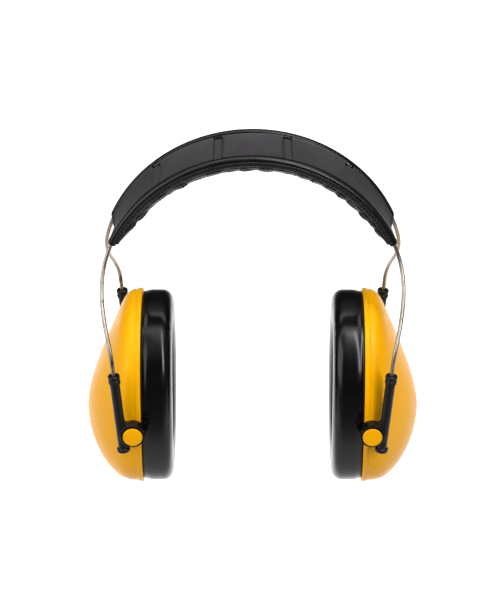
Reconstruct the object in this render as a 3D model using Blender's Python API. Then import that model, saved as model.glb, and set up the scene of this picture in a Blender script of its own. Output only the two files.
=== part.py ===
"""Earmuff hearing protector: two padded cups on a twin-wire headband with a padded cover.

Frame: the origin lies midway between the two cushion faces, level with the middle of the cups.
+Z is up, X runs from cup to cup, and -Y is the front. "left" is the cup on the -X side.
All the sizes below are in millimetres and degrees; MM turns them into metres.
"""
import math

import bmesh
import bpy
from mathutils import Matrix, Vector
from mathutils.geometry import interpolate_bezier

MM = 0.001
GAP = 0.3                   # clearance between neighbouring pieces

# Cups
FACE_GAP = 78.0             # between the two cushion faces
CUP_HEIGHT = 97.0
CUP_DEPTH = 78.0
OVAL_POWER = 2.3            # 2 is an ellipse, more is squarer
CUP_WALL = 2.3
RIM_PROUD = 0.7             # how far the rim lip stands out of the side wall
RIM_WIDTH = 2.5
SIDE_WIDTH = 7.7            # from the rim's edge to where the dome starts
DOME_HEIGHT = 20.5
DOME_DROP = 12.0            # how far the dome's top lies below the middle of the rim
DOME_POWER = 1.8
DROP_POWER = 3.3
LINER_THICKNESS = 6.0

# Cushions
CUSHION_THICKNESS = 13.3
CUSHION_INSET = -0.2        # from the side wall's outline inwards to the cushion's
CUSHION_BAND = 18.5         # width of the ring round the ear
CUSHION_ROUND = 3.0
SKIN = 0.9
PLATE_THICKNESS = 1.3
PLATE_INSET = 1.7
PLATE_SNAP_DEPTH = 3.6
PLATE_SNAP_WALL = 1.5
PLATE_TO_RIM = 0.4

# Hinge studs on the cups, and the yokes that clip on them
STUD_NECK_RADIUS = 3.0
STUD_DISC_OVERHANG = 1.7
STUD_DISC_THICKNESS = 0.9
STUD_EDGE = 0.7             # from the rim's edge to the neck
STUD_ROOT = 1.6             # depth of the stud's root in the side wall
STUD_HEIGHT = -2.0
RING_WALL = 2.5
RING_DEPTH = 5.4
RING_TO_CUP = 1.0
RING_OPENING = 2.4
RING_OPENING_ANGLE = 15.0   # above the level line, on the cushion side
YOKE_TILT = 5.2
TUBE_WALL = 0.8
RING_TO_TUBE_BORE = 0.6
TUBE_ABOVE_PIVOT = 33.4     # to the top of the collar
TUBE_BELOW_PIVOT = 9.4
TUBE_FLOOR = 2.0
FOOT_OVERHANG = 0.8
FOOT_HEIGHT = 2.2
FOOT_ROUND = 0.7
WEB_HEIGHT = 9.5            # of the fillet above the pivot
WEB_DEPTH = 3.8
WEB_SINK = 0.4              # how far the fillet runs into the ring
WEB_START_ANGLE = 196.0
COLLAR_HEIGHT = 4.6
COLLAR_OVERHANG = 0.5
COLLAR_GROOVE = 0.4
COLLAR_ROUND = 0.3

# Wires
WIRE_DIAMETER = 2.0
TIP_DIAMETER = 2.6          # the upset end that stops the yoke on the wire
TIP_LENGTH = 2.0
SLIDE_UP = 6.0
SLIDE_DOWN = 25.0
FLARE_REACH = 26.0          # handle of the bend below the band
YOKE_REACH = 16.0           # handle of the bend above the yoke

# Headband
BAND_RADIUS = 73.5          # at the wires' centre line
BAND_CENTRE_HEIGHT = 57.6
BAND_HALF_ANGLE = 66.5
WIRE_SPACING = 15.2         # from the middle of the band to each wire
SLEEVE_WALL = 0.7
SLEEVE_ROUND = 0.9
FLOOR_RECESS = 2.0
FLOOR_THICKNESS = 1.2
FLOOR_SCOOP = 4.0
RIB_ANGLES = (-39.0, -13.0, 13.0, 39.0)
RIB_WIDTH = 3.5
RIB_HEIGHT = 0.9
PAD_THICKNESS = 4.8         # below the sleeves, in the middle
PAD_EDGE = 3.0              # below the sleeves, along the two edges
PAD_SKIN = 0.8
PAD_SIDE_WALL = 1.0
PAD_END_MARGIN = 1.5        # degrees of band left bare past the pad
PAD_TAPER_ANGLE = 16.0
PAD_TAPER = 0.5             # thickness left at the two ends

SHARP_ANGLE = 35.0          # edges sharper than this are shaded as edges
CUT_OVERRUN = 1.0           # how far a cut runs past the piece that it cuts
OVAL_POINTS = 28
BAND_STEPS = 24
BEND_STEPS = 10
ROUND_STEPS = 16
DOME_SCALES = (1.0, 0.96, 0.88, 0.77, 0.64, 0.48, 0.31, 0.14)

# Places and radii that follow from the sizes above
FACE_X = FACE_GAP / 2
PLATE_X = FACE_X + CUSHION_THICKNESS + GAP
RIM_X = PLATE_X + PLATE_THICKNESS + PLATE_TO_RIM
WIRE_RADIUS = WIRE_DIAMETER / 2
WIRE_BORE = WIRE_RADIUS + GAP
TUBE_BORE = TIP_DIAMETER / 2 + GAP
TUBE_RADIUS = TUBE_BORE + TUBE_WALL
RING_BORE = STUD_NECK_RADIUS + GAP
RING_RADIUS = RING_BORE + RING_WALL
PIVOT_TO_TUBE = RING_BORE + RING_TO_TUBE_BORE + TUBE_BORE
PIVOT_X = RIM_X + STUD_EDGE + STUD_NECK_RADIUS
YOKE_Y = CUP_DEPTH / 2 + RIM_PROUD + RING_TO_CUP + RING_DEPTH / 2
STUD_DISC_Y = YOKE_Y + max(RING_DEPTH / 2, TUBE_RADIUS) + GAP
COLLAR_RADIUS = TUBE_RADIUS + COLLAR_OVERHANG
SLEEVE_HALF = WIRE_BORE + SLEEVE_WALL
SLEEVE_INNER = WIRE_SPACING - SLEEVE_HALF
FLOOR_TOP = BAND_RADIUS + SLEEVE_HALF - FLOOR_RECESS
FLOOR_BOTTOM = FLOOR_TOP - FLOOR_THICKNESS
PAD_TOP = BAND_RADIUS - SLEEVE_HALF - GAP


def clear_scene():
    for old in list(bpy.data.objects):
        bpy.data.objects.remove(old, do_unlink=True)


def make_material(name, colour, roughness, metallic=0.0):
    material = bpy.data.materials.new(name)
    material.use_nodes = True
    shader = material.node_tree.nodes["Principled BSDF"]
    shader.inputs["Base Color"].default_value = (*colour, 1.0)
    shader.inputs["Roughness"].default_value = roughness
    shader.inputs["Metallic"].default_value = metallic
    return material


def add_object(name, data, material, parent=None):
    piece = bpy.data.objects.new(name, data)
    bpy.context.scene.collection.objects.link(piece)
    piece.data.materials.append(material)
    piece.parent = parent
    return piece


def add_joint_frame(name, place, tilt=0.0):
    """An empty on a joint's axis, which carries the pieces that move with the joint."""
    frame = bpy.data.objects.new(name, None)
    bpy.context.scene.collection.objects.link(frame)
    frame.location = Vector(place) * MM
    frame.rotation_euler.y = math.radians(tilt)
    return frame


def finish_mesh(name, bm):
    bmesh.ops.recalc_face_normals(bm, faces=bm.faces)
    mesh = bpy.data.meshes.new(name)
    bm.to_mesh(mesh)
    bm.free()
    mesh.shade_smooth()
    mesh.set_sharp_from_angle(angle=math.radians(SHARP_ANGLE))
    return mesh


def skin_rings(name, rings, wrap=False, origin=(0, 0, 0)):
    """A closed skin over equal rings: it runs back to the first ring, or ends in two flat caps."""
    bm = bmesh.new()
    origin = Vector(origin)
    loops = [[bm.verts.new((Vector(point) - origin) * MM) for point in ring] for ring in rings]
    followers = loops[1:] + loops[:1] if wrap else loops[1:]
    for loop, follower in zip(loops, followers):
        for i in range(len(loop)):
            j = (i + 1) % len(loop)
            bm.faces.new((loop[i], loop[j], follower[j], follower[i]))
    if not wrap:
        bm.faces.new(loops[0])
        bm.faces.new(loops[-1])
    return finish_mesh(name, bm)


def turned_rings(profile, axis, centre=(0, 0, 0)):
    """Rings of (radius, place along the axis) about the Y or the Z axis through a centre."""
    rings = []
    for radius, along in profile:
        ring = []
        for step in range(ROUND_STEPS):
            angle = 2 * math.pi * step / ROUND_STEPS
            a, b = radius * math.cos(angle), radius * math.sin(angle)
            point = Vector((a, along, b)) if axis == "Y" else Vector((a, b, along))
            ring.append(point + Vector(centre))
        rings.append(ring)
    return rings


def add_boolean(piece, operation, name, mesh):
    """Join or cut with a hidden guide that shares the piece's parent."""
    guide = bpy.data.objects.new(name, mesh)
    bpy.context.scene.collection.objects.link(guide)
    guide.parent = piece.parent
    guide.hide_render = True
    guide.display_type = "WIRE"
    modifier = piece.modifiers.new(name, "BOOLEAN")
    modifier.operation = operation
    modifier.object = guide


def merge_meshes(name, meshes):
    bm = bmesh.new()
    for mesh in meshes:
        bm.from_mesh(mesh)
    return finish_mesh(name, bm)


def extrude_outline(name, outline, half_depth):
    """A prism along Y over an (x, z) outline."""
    rings = [[(x, y, z) for x, z in outline] for y in (-half_depth, half_depth)]
    return skin_rings(name, rings)


def corner(centre_a, centre_b, radius, start, end, steps=2):
    """Points of an arc in any plane, from one angle to another in degrees."""
    angles = [math.radians(start + (end - start) * i / steps) for i in range(steps + 1)]
    return [(centre_a + radius * math.cos(t), centre_b + radius * math.sin(t)) for t in angles]


# Cups ------------------------------------------------------------------------------------------

def oval(x, inset, scale=1.0, drop=0.0):
    """The cup's oval outline in the plane at x, moved inwards, scaled and lowered."""
    ring = []
    for step in range(OVAL_POINTS):
        angle = 2 * math.pi * step / OVAL_POINTS
        up = math.copysign(abs(math.cos(angle)) ** (2 / OVAL_POWER), math.cos(angle))
        across = math.copysign(abs(math.sin(angle)) ** (2 / OVAL_POWER), math.sin(angle))
        y = (CUP_DEPTH / 2 - inset) * scale * across
        z = (CUP_HEIGHT / 2 - inset) * scale * up - drop
        ring.append((x, y, z))
    return ring


def dome_rings(inset):
    """The dome's surface from the side wall to its top, moved inwards by an even thickness."""
    slope = DOME_POWER * DOME_HEIGHT / (CUP_HEIGHT / 2)
    back = inset * (math.hypot(1, slope) - slope)
    start = RIM_X + SIDE_WIDTH - back
    height = DOME_HEIGHT - inset + back
    rings = []
    for scale in DOME_SCALES:
        x = start + height * (1 - scale ** DOME_POWER)
        rings.append(oval(x, inset, scale, DOME_DROP * (1 - scale ** DROP_POWER)))
    return rings


def mirrored(rings, side):
    return [[(side * x, y, z) for x, y, z in ring] for ring in rings]


def cup_shell(side, name, material, parent, origin):
    outside = [oval(RIM_X, -RIM_PROUD), oval(RIM_X + RIM_WIDTH, -RIM_PROUD)]
    outside += [oval(RIM_X + RIM_WIDTH + RIM_PROUD / 2, 0)] + dome_rings(0)
    inside = [oval(RIM_X, CUP_WALL)] + dome_rings(CUP_WALL)
    rings = mirrored(outside[::-1] + inside, side)
    shell = add_object(name, skin_rings(name, rings, origin=origin), material, parent)
    add_boolean(shell, "UNION", name + "_stud_guide", stud_mesh(name))


def stud_mesh(name):
    """Both studs of a cup, on the hinge axis."""
    disc = STUD_NECK_RADIUS + STUD_DISC_OVERHANG
    root = CUP_DEPTH / 2 - STUD_ROOT
    end = STUD_DISC_Y + STUD_DISC_THICKNESS
    bevel = STUD_DISC_THICKNESS / 3
    profile = [(STUD_NECK_RADIUS, root), (STUD_NECK_RADIUS, STUD_DISC_Y), (disc, STUD_DISC_Y)]
    profile += [(disc, end - bevel), (disc - bevel, end)]
    studs = []
    for place in (-1, 1):
        turned = turned_rings([(radius, place * along) for radius, along in profile], "Y")
        studs.append(skin_rings(name, turned))
    return merge_meshes(name, studs)


def foam_liner(side, name, material, parent, origin):
    lip = RIM_X + PLATE_SNAP_DEPTH - PLATE_TO_RIM + 2 * GAP
    outer, inner = CUP_WALL + GAP, CUP_WALL + GAP + LINER_THICKNESS
    outside = [oval(lip, outer)] + dome_rings(outer)
    inside = [ring for ring in dome_rings(inner) if ring[0][0] > lip + GAP]
    rings = outside[::-1] + [oval(lip, inner)] + inside
    add_object(name, skin_rings(name, mirrored(rings, side), origin=origin), material, parent)


def cushion_plate(side, name, material, parent, origin):
    front, back = PLATE_X, PLATE_X + PLATE_THICKNESS
    snap = CUP_WALL + GAP
    hole = CUSHION_INSET + CUSHION_BAND - SKIN
    section = [(front, PLATE_INSET), (back, PLATE_INSET), (back, snap), (back + PLATE_SNAP_DEPTH, snap)]
    section += [(back + PLATE_SNAP_DEPTH, snap + PLATE_SNAP_WALL), (back, snap + PLATE_SNAP_WALL)]
    section += [(back, hole), (front, hole)]
    rings = mirrored([oval(x, inset) for x, inset in section], side)
    add_object(name, skin_rings(name, rings, wrap=True, origin=origin), material, parent)


def cushion_section(face, outer, inner, round_off, back):
    """From the outer wall's back edge, over the face, to the inner wall's back edge."""
    section = [(back, outer + SKIN / 2), (back - CUSHION_ROUND, outer)]
    section += corner(face + round_off, outer + round_off, round_off, -90, -180)
    section += corner(face + round_off, inner - round_off, round_off, 180, 90)
    return section + [(back, inner)]


def cushion_cover(side, name, material, parent, origin):
    back = FACE_X + CUSHION_THICKNESS
    outer, inner = CUSHION_INSET, CUSHION_INSET + CUSHION_BAND
    outside = cushion_section(FACE_X, outer, inner, CUSHION_ROUND, back)
    inside = cushion_section(FACE_X + SKIN, outer + SKIN, inner - SKIN, CUSHION_ROUND - SKIN, back)
    rings = mirrored([oval(x, inset) for x, inset in outside + inside[::-1]], side)
    add_object(name, skin_rings(name, rings, wrap=True, origin=origin), material, parent)


def cushion_foam(side, name, material, parent, origin):
    lining = SKIN + GAP
    outer, inner = CUSHION_INSET + lining, CUSHION_INSET + CUSHION_BAND - lining
    back = FACE_X + CUSHION_THICKNESS
    section = cushion_section(FACE_X + lining, outer, inner, CUSHION_ROUND - lining, back)
    rings = mirrored([oval(x, inset) for x, inset in section], side)
    add_object(name, skin_rings(name, rings, wrap=True, origin=origin), material, parent)


# Yokes: their frames stand on the tube's axis, level with the pivot, with +Z up the tube --------

def yoke_frame_place(side, place):
    tilt = math.radians(YOKE_TILT)
    x = PIVOT_X + PIVOT_TO_TUBE * math.cos(tilt)
    return Vector((side * x, place * YOKE_Y, STUD_HEIGHT - PIVOT_TO_TUBE * math.sin(tilt)))


def slider_tube_mesh(name):
    foot = TUBE_RADIUS + FOOT_OVERHANG
    bottom, top = -TUBE_BELOW_PIVOT, TUBE_ABOVE_PIVOT - COLLAR_HEIGHT - GAP
    shoulder = bottom + FOOT_HEIGHT
    profile = [(foot - FOOT_ROUND, bottom), (foot, bottom + FOOT_ROUND), (foot, shoulder - FOOT_ROUND)]
    profile += [(TUBE_RADIUS, shoulder), (TUBE_RADIUS, top)]
    return skin_rings(name, turned_rings(profile, "Z"))


def slider_web_mesh(name, side):
    """The fillet between the tube and the top of the ring."""
    inward = -side
    radius = WEB_HEIGHT - RING_RADIUS + WEB_SINK
    curve = corner(PIVOT_TO_TUBE, WEB_HEIGHT, radius, WEB_START_ANGLE, 270, 4)
    outline = [(inward * x, z) for x, z in curve]
    outline += [(inward * PIVOT_TO_TUBE, RING_BORE + RING_WALL / 2), (0, RING_BORE / 2), (0, WEB_HEIGHT)]
    return extrude_outline(name, outline, WEB_DEPTH / 2)


def slider(side, name, material, parent):
    pivot = (-side * PIVOT_TO_TUBE, 0, 0)
    half = RING_DEPTH / 2
    piece = add_object(name, slider_tube_mesh(name), material, parent)
    ring = turned_rings([(RING_RADIUS, -half), (RING_RADIUS, half)], "Y", pivot)
    add_boolean(piece, "UNION", name + "_ring_guide", skin_rings(name, ring))
    add_boolean(piece, "UNION", name + "_web_guide", slider_web_mesh(name, side))
    bore = turned_rings([(RING_BORE, -2 * half), (RING_BORE, 2 * half)], "Y", pivot)
    add_boolean(piece, "DIFFERENCE", name + "_stud_bore", skin_rings(name, bore))
    tube = turned_rings([(TUBE_BORE, TUBE_FLOOR - TUBE_BELOW_PIVOT), (TUBE_BORE, TUBE_ABOVE_PIVOT)], "Z")
    add_boolean(piece, "DIFFERENCE", name + "_wire_bore", skin_rings(name, tube))
    add_boolean(piece, "DIFFERENCE", name + "_opening", ring_opening_mesh(name, side, pivot))


def ring_opening_mesh(name, side, pivot):
    """The slot that lets the ring snap over the stud's neck."""
    start, end, half = RING_BORE - CUT_OVERRUN, RING_RADIUS + CUT_OVERRUN, RING_OPENING / 2
    outline = [(start, -half), (end, -half), (end, half), (start, half)]
    mesh = extrude_outline(name, outline, RING_DEPTH)
    turn = math.radians(180 - RING_OPENING_ANGLE) if side > 0 else math.radians(RING_OPENING_ANGLE)
    place = Matrix.Translation(Vector(pivot) * MM)
    mesh.transform(place @ Matrix.Rotation(-turn, 4, "Y"))
    return mesh


def slider_collar(name, material, parent):
    top = TUBE_ABOVE_PIVOT
    bottom = top - COLLAR_HEIGHT
    middle, half = (top + bottom) / 2, COLLAR_GROOVE / 2
    outer, groove = COLLAR_RADIUS, COLLAR_RADIUS - COLLAR_GROOVE
    lower = [(WIRE_BORE, bottom), (outer - COLLAR_ROUND, bottom), (outer, bottom + COLLAR_ROUND)]
    lower += [(outer, middle - 2 * half), (groove, middle - half)]
    upper = [(radius, 2 * middle - along) for radius, along in lower[::-1]]
    profile = lower + upper
    add_object(name, skin_rings(name, turned_rings(profile, "Z"), wrap=True), material, parent)


# Headband ----------------------------------------------------------------------------------------

def on_band(radius, y, angle):
    """A point at a radius from the band's centre line, at an angle from the top in degrees."""
    turn = math.radians(angle)
    return Vector((radius * math.sin(turn), y, BAND_CENTRE_HEIGHT + radius * math.cos(turn)))


def band_angles(half_angle):
    return [half_angle * (2 * step / BAND_STEPS - 1) for step in range(BAND_STEPS + 1)]


def both_halves(half_section):
    """Mirror a half section, which starts and ends on the middle line, across Y."""
    return half_section + [(-y, radius) for y, radius in half_section[-2:0:-1]]


def cover_section():
    """Half of the cover's section: floor, rounded sleeve, and the floor's underside."""
    top, low = BAND_RADIUS + SLEEVE_HALF, BAND_RADIUS - SLEEVE_HALF
    inner, outer = SLEEVE_INNER, WIRE_SPACING + SLEEVE_HALF
    across = (0, inner / 3, 2 * inner / 3)
    section = [(y, FLOOR_TOP) for y in across] + [(inner, FLOOR_TOP)]
    section += corner(inner + SLEEVE_ROUND, top - SLEEVE_ROUND, SLEEVE_ROUND, 180, 90)
    section += corner(outer - SLEEVE_ROUND, top - SLEEVE_ROUND, SLEEVE_ROUND, 90, 0)
    section += corner(outer - SLEEVE_ROUND, low + SLEEVE_ROUND, SLEEVE_ROUND, 0, -90)
    section += [(inner, low), (inner, FLOOR_BOTTOM)]
    return section + [(y, FLOOR_BOTTOM) for y in across[::-1]]


def scooped_angle(angle, y):
    """Draw the floor's end edge back between the two sleeves."""
    if abs(angle) < BAND_HALF_ANGLE or abs(y) > SLEEVE_INNER:
        return angle
    depth = FLOOR_SCOOP * (1 - (y / SLEEVE_INNER) ** 2)
    return math.copysign(abs(angle) - math.degrees(depth / BAND_RADIUS), angle)


def band_cover(material):
    section = both_halves(cover_section())
    rings = []
    for angle in band_angles(BAND_HALF_ANGLE):
        rings.append([on_band(radius, y, scooped_angle(angle, y)) for y, radius in section])
    cover = add_object("band_cover", skin_rings("band_cover", rings), material)
    add_boolean(cover, "UNION", "rib_guide", rib_mesh())
    add_boolean(cover, "DIFFERENCE", "sleeve_bores", sleeve_bore_mesh())


def rib_mesh():
    """Four low ribs across the floor, from sleeve to sleeve."""
    reach = SLEEVE_INNER + SLEEVE_WALL / 2
    low, high = FLOOR_TOP - FLOOR_THICKNESS / 2, FLOOR_TOP + RIB_HEIGHT
    half = math.degrees(RIB_WIDTH / 2 / FLOOR_TOP)
    ribs = []
    for middle in RIB_ANGLES:
        rings = []
        for angle in (middle - half, middle, middle + half):
            corners = ((-reach, low), (reach, low), (reach, high), (-reach, high))
            rings.append([on_band(radius, y, angle) for y, radius in corners])
        ribs.append(skin_rings("rib", rings))
    return merge_meshes("ribs", ribs)


def sleeve_bore_mesh():
    bores = []
    for place in (-1, 1):
        circle = corner(place * WIRE_SPACING, BAND_RADIUS, WIRE_BORE, 0, 330, 11)
        rings = []
        for angle in band_angles(BAND_HALF_ANGLE + math.degrees(CUT_OVERRUN / BAND_RADIUS)):
            rings.append([on_band(radius, y, angle) for y, radius in circle])
        bores.append(skin_rings("bore", rings))
    return merge_meshes("bores", bores)


def pad_section(lift):
    """Half of the pad's underside, from its middle to its edge, raised by a thickness."""
    edge = WIRE_SPACING + WIRE_RADIUS - lift
    section = []
    for share in (0, 0.3, 0.6, 0.85, 1.0):
        depth = PAD_EDGE + (PAD_THICKNESS - PAD_EDGE) * math.cos(share * math.pi / 2)
        section.append((share * edge, PAD_TOP - depth + lift))
    return section


def pad_taper(radius, angle):
    """Thin the pad towards the ends of the band."""
    past = max(0.0, abs(angle) - (BAND_HALF_ANGLE - PAD_END_MARGIN - PAD_TAPER_ANGLE)) / PAD_TAPER_ANGLE
    depth = PAD_TOP - radius
    return radius if depth <= 0 else PAD_TOP - depth * (1 - (1 - PAD_TAPER) * past)


def band_pad_piece(name, half_section, half_angle, material):
    rings = []
    for angle in band_angles(half_angle):
        section = both_halves(half_section)
        rings.append([on_band(pad_taper(radius, angle), y, angle) for y, radius in section])
    add_object(name, skin_rings(name, rings), material)


def band_pad(skin_material, foam_material):
    """A moulded skin, open towards the cover's floor, round a strip of foam."""
    half_angle = BAND_HALF_ANGLE - PAD_END_MARGIN
    outside = pad_section(0)
    flange = outside[-1][0] + PAD_SKIN / 2
    lip = SLEEVE_INNER - GAP
    inside = [point for point in pad_section(PAD_SKIN) if point[0] < lip - PAD_SIDE_WALL]
    skin = outside + [(flange, PAD_TOP - PAD_SKIN), (flange, PAD_TOP), (lip, PAD_TOP)]
    skin += [(lip, PAD_TOP - PAD_SKIN)] + inside[::-1]
    band_pad_piece("band_pad_cover", skin, half_angle, skin_material)
    foam_side = lip - GAP - PAD_SIDE_WALL
    foam = [point for point in pad_section(PAD_SKIN + GAP) if point[0] < foam_side]
    foam += [(foam_side, PAD_TOP - PAD_SKIN / 2), (foam_side, FLOOR_BOTTOM - GAP), (0, FLOOR_BOTTOM - GAP)]
    band_pad_piece("band_pad_foam", foam, half_angle, foam_material)


def wire_side_route(side, place):
    """From the tip inside the yoke's tube up to the end of the band's arc, with each radius."""
    tilt = math.radians(side * YOKE_TILT)
    up = Vector((math.sin(tilt), 0, math.cos(tilt)))
    base = yoke_frame_place(side, place)
    tube_end = TUBE_ABOVE_PIVOT - COLLAR_HEIGHT - GAP
    tip_top = tube_end - GAP - SLIDE_DOWN
    straight_end = base + up * (TUBE_ABOVE_PIVOT + SLIDE_UP + GAP)
    band_end = on_band(BAND_RADIUS, place * WIRE_SPACING, side * BAND_HALF_ANGLE)
    turn = math.radians(BAND_HALF_ANGLE)
    down = Vector((side * math.cos(turn), 0, -math.sin(turn)))
    bend = interpolate_bezier(straight_end, straight_end + up * YOKE_REACH,
                              band_end + down * FLARE_REACH, band_end, BEND_STEPS + 1)
    tip = TIP_DIAMETER / WIRE_DIAMETER
    route = [(base + up * (tip_top - TIP_LENGTH), tip), (base + up * (tip_top - GAP / 2), tip)]
    route += [(base + up * tip_top, 1.0), (base + up * (tip_top + TUBE_ABOVE_PIVOT / 2), 1.0)]
    return route + [(point, 1.0) for point in bend[:-1]]


def band_wire(name, place, material):
    """One wire: both yoke ends, and the arc through the cover's sleeve between them."""
    arc = [(on_band(BAND_RADIUS, place * WIRE_SPACING, angle), 1.0) for angle in band_angles(BAND_HALF_ANGLE)]
    route = wire_side_route(-1, place) + arc + wire_side_route(1, place)[::-1]
    curve = bpy.data.curves.new(name, "CURVE")
    curve.dimensions = "3D"
    curve.bevel_depth = WIRE_RADIUS * MM
    curve.bevel_resolution = 2
    curve.use_fill_caps = True
    spline = curve.splines.new("POLY")
    spline.points.add(len(route) - 1)
    for target, (point, radius) in zip(spline.points, route):
        target.co = (*(point * MM), 1.0)
        target.radius = radius
    add_object(name, curve, material)


def main():
    clear_scene()
    shell = make_material("yellow_abs", (0.98, 0.47, 0.008), 0.25)
    yoke = make_material("black_nylon", (0.012, 0.012, 0.013), 0.45)
    cover = make_material("charcoal_vinyl", (0.045, 0.045, 0.048), 0.55)
    pad = make_material("black_soft_vinyl", (0.014, 0.014, 0.015), 0.5)
    cushion = make_material("black_gloss_vinyl", (0.01, 0.01, 0.011), 0.25)
    plate = make_material("black_plate", (0.015, 0.015, 0.016), 0.5)
    foam = make_material("grey_foam", (0.12, 0.12, 0.125), 0.95)
    steel = make_material("spring_steel", (0.46, 0.44, 0.41), 0.28, 1.0)

    band_cover(cover)
    band_pad(pad, foam)
    band_wire("front_wire", -1, steel)
    band_wire("rear_wire", 1, steel)
    for side, word in ((-1, "left_"), (1, "right_")):
        pivot = (side * PIVOT_X, 0, STUD_HEIGHT)
        hinge = add_joint_frame(word + "cup_hinge", pivot)
        cup_shell(side, word + "cup_shell", shell, hinge, pivot)
        foam_liner(side, word + "foam_liner", foam, hinge, pivot)
        cushion_plate(side, word + "cushion_plate", plate, hinge, pivot)
        cushion_foam(side, word + "cushion_foam", foam, hinge, pivot)
        cushion_cover(side, word + "cushion_cover", cushion, hinge, pivot)
        for place, end in ((-1, "front_"), (1, "rear_")):
            rail = add_joint_frame(word + end + "rail", yoke_frame_place(side, place), side * YOKE_TILT)
            slider(side, word + end + "slider", yoke, rail)
            slider_collar(word + end + "slider_collar", yoke, rail)


main()
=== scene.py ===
# %% [markdown]
# # An earmuff hearing protector
# Two moulded cups hang on sliding yokes from a headband of two spring wires under a moulded cover.
# The mechanical model is loaded as a fixed frame. Each visible piece is then made again with the
# fillets, crowns, grain and gloss that the real material has, in exactly the same place, and rides
# on the body that the mechanical piece belongs to.

# %% Load the frame
import math

import bmesh
import bpy
import numpy as np
from mathutils import Matrix, Vector, noise


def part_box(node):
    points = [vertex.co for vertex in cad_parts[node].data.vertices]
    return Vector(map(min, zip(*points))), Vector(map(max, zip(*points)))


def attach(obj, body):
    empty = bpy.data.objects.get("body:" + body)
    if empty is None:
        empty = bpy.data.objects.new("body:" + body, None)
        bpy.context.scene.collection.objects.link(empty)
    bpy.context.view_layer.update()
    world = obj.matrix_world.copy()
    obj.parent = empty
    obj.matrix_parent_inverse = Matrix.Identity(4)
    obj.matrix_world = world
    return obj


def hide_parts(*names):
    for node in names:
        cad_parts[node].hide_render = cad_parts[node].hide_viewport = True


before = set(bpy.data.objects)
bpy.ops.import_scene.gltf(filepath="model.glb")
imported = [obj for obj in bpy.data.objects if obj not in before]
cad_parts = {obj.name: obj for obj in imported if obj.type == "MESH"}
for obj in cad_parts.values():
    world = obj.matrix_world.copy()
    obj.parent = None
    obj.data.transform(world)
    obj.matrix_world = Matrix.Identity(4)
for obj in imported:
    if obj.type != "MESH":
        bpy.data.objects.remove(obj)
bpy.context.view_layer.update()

# %% [markdown]
# ## Camera
# A product like this is shot with a long lens from a little over a metre, so that the two cups
# keep the same size. The camera stands straight in front and looks about 30 degrees down.
# Colours are shown with the Standard transform: the default one would wash out a strong yellow.

# %% Camera
CAMERA_PLACE = (0.0, -1.0587, 0.6261)
CAMERA_TILT = 61.37         # degrees from straight down
CAMERA_ROLL = 0.07
LENS_MM = 147.6

lens = bpy.data.cameras.new("camera")
lens.lens = LENS_MM
camera = bpy.data.objects.new("camera", lens)
camera.location = CAMERA_PLACE
camera.rotation_euler = (math.radians(CAMERA_TILT), 0, math.radians(CAMERA_ROLL))
bpy.context.scene.collection.objects.link(camera)
bpy.context.scene.camera = camera
bpy.context.scene.view_settings.view_transform = "Standard"
print("camera distance in m:", round(camera.location.length, 3))

# %% [markdown]
# ## Tools for the materials
# Three small helpers serve every material. One turns the sRGB hex colour that a designer would
# quote into the linear numbers that the shader wants. One adds any node with its settings and its
# links. One starts a material from its colour, gloss and index of refraction.

# %% Material helpers
MM = 0.001


def linear(code):
    """An sRGB hex colour such as "#FFB400" as linear RGBA."""
    channels = [int(code[i:i + 2], 16) / 255 for i in (1, 3, 5)]
    return tuple(c / 12.92 if c <= 0.04045 else ((c + 0.055) / 1.055) ** 2.4 for c in channels) + (1.0,)


def add_node(tree, kind, links=None, **settings):
    """Add a node. links maps each input to a value or to another node's output socket."""
    made = tree.nodes.new("ShaderNode" + kind)
    for name, value in settings.items():
        setattr(made, name, value)
    for name, value in (links or {}).items():
        if isinstance(value, bpy.types.NodeSocket):
            tree.links.new(value, made.inputs[name])
        else:
            made.inputs[name].default_value = value
    return made


def start_material(name, colour, roughness, ior=1.5, metallic=0.0, specular=0.5):
    """Return the material, its node tree, its shader and the socket that gives the place."""
    material = bpy.data.materials.new(name)
    material.use_nodes = True
    tree = material.node_tree
    shader = tree.nodes["Principled BSDF"]
    values = {"Base Color": linear(colour), "Roughness": roughness, "IOR": ior,
              "Metallic": metallic, "Specular IOR Level": specular}
    for socket, value in values.items():
        shader.inputs[socket].default_value = value
    return material, tree, shader, add_node(tree, "TexCoord").outputs["Object"]


print("#808080 is", round(linear("#808080")[0], 3), "in linear light")

# %% [markdown]
# Moulded and rolled plastics share two kinds of unevenness: broad cloudiness in colour and gloss,
# and a fine grain that only bends the light. Each size and depth is in millimetres, so that it can
# be checked against a real surface. One function makes such a plastic from the three together.

# %% Plastics
def cloud(tree, place, size, low, high, detail=3):
    """A soft noise with patches of a size in mm, as a value between low and high."""
    patches = add_node(tree, "TexNoise", {"Vector": place, "Scale": 1 / (size * MM), "Detail": detail})
    spread = {"Value": patches.outputs["Fac"], "From Min": 0.3, "From Max": 0.7,
              "To Min": low, "To Max": high}
    return add_node(tree, "MapRange", spread).outputs["Result"]


def grain(tree, place, size, depth, detail=2, below=None):
    """Bend the light as grains of a width and a depth in mm would, on top of another bump."""
    bumps = add_node(tree, "TexNoise", {"Vector": place, "Scale": 1 / (size * MM), "Detail": detail})
    links = {"Height": bumps.outputs["Fac"], "Distance": depth * MM, "Strength": 1.0}
    if below:
        links["Normal"] = below
    return add_node(tree, "Bump", links).outputs["Normal"]


def blend_colours(tree, shader, share, first, second):
    links = {"Factor": share, "A": linear(first), "B": linear(second)}
    mixed = add_node(tree, "Mix", links, data_type="RGBA").outputs["Result"]
    tree.links.new(mixed, shader.inputs["Base Color"])


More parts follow.
